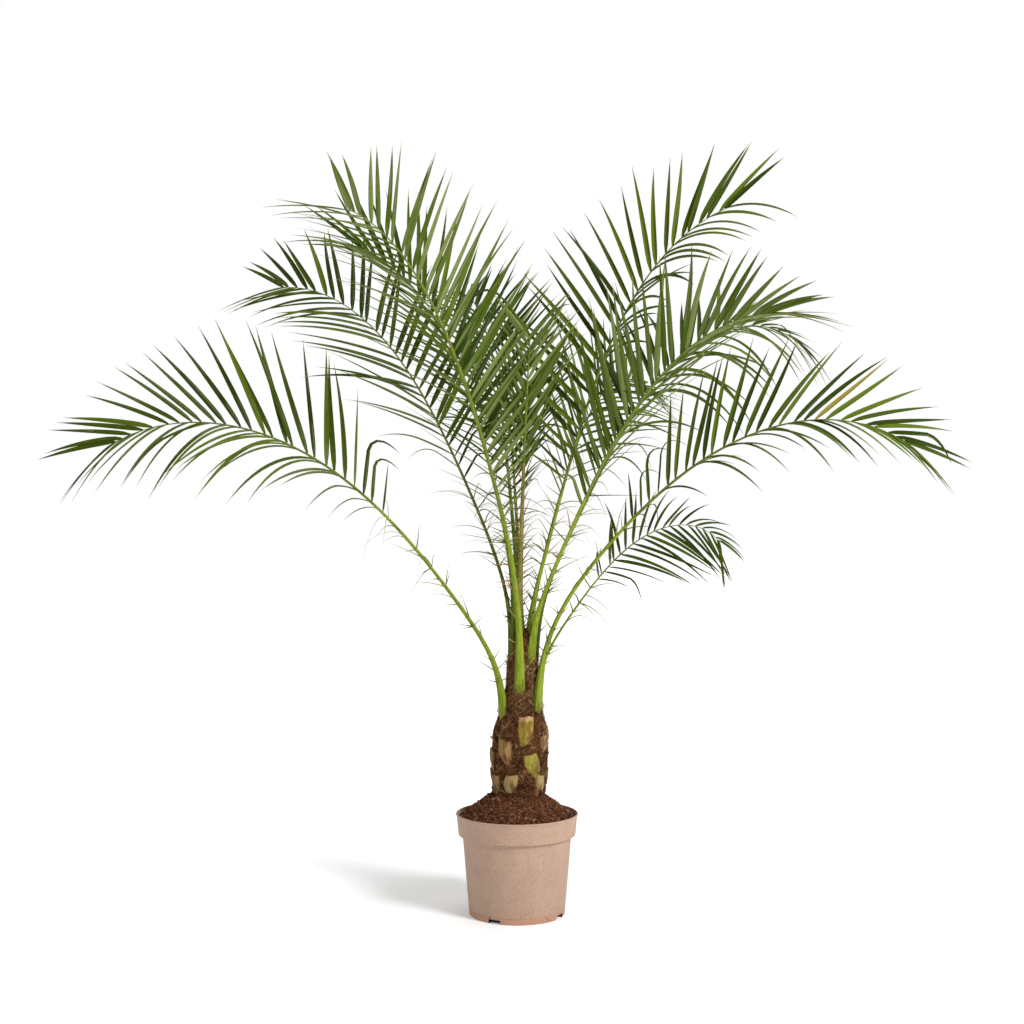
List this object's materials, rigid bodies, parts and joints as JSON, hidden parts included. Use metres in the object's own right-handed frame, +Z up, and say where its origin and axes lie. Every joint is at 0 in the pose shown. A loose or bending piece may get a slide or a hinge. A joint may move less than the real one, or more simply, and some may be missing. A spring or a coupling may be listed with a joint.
{
  "type": "potted pygmy date palm",
  "caption": "Young feather palm in a round nursery pot: a stout fibrous trunk with cut leaf bases, and long arching fronds of narrow leaflets.",
  "frame": {"origin": "middle of the pot's flat underside, on the surface that it stands on", "axes": "+Z up along the pot's axis; -Y is the side that the picture shows; +X to the right in that view, along the widest spread of the fronds"},
  "size_m": [1.521, 1.2552, 1.3],
  "materials": {
    "pot": "matte speckled recycled plastic",
    "peat": "loose chunky peat",
    "trunk": "shaggy dark fibre",
    "leaf_base": "cut olive green and tan",
    "frond": "satin leaf green"
  },
  "bodies": {
    "root": {"pot": "pot", "soil": "peat", "trunk": "trunk", "leaf_base_upper": "leaf_base", "leaf_base_lower_right": "leaf_base", "leaf_base_left": "leaf_base", "leaf_base_lower_left": "leaf_base", "leaf_base_right": "leaf_base", "leaf_base_foot_right": "leaf_base", "leaf_base_foot_left": "leaf_base", "leaf_base_back_1_1": "leaf_base", "leaf_base_back_1_2": "leaf_base", "leaf_base_back_1_3": "leaf_base", "leaf_base_back_1_4": "leaf_base", "leaf_base_back_2_1": "leaf_base", "leaf_base_back_2_2": "leaf_base", "leaf_base_back_2_3": "leaf_base", "leaf_base_back_2_4": "leaf_base", "leaf_base_back_3_1": "leaf_base", "leaf_base_back_3_2": "leaf_base", "leaf_base_back_3_3": "leaf_base", "leaf_base_back_3_4": "leaf_base", "frond_low_left": "frond", "frond_low_right": "frond", "frond_short_right": "frond", "frond_upper_left_front": "frond", "frond_upper_left_back": "frond", "frond_left_back": "frond", "frond_upper_right": "frond", "frond_right_back": "frond", "frond_right_front": "frond", "frond_centre": "frond", "frond_back": "frond", "frond_back_right": "frond", "frond_back_left": "frond"}
  },
  "joints": []
}
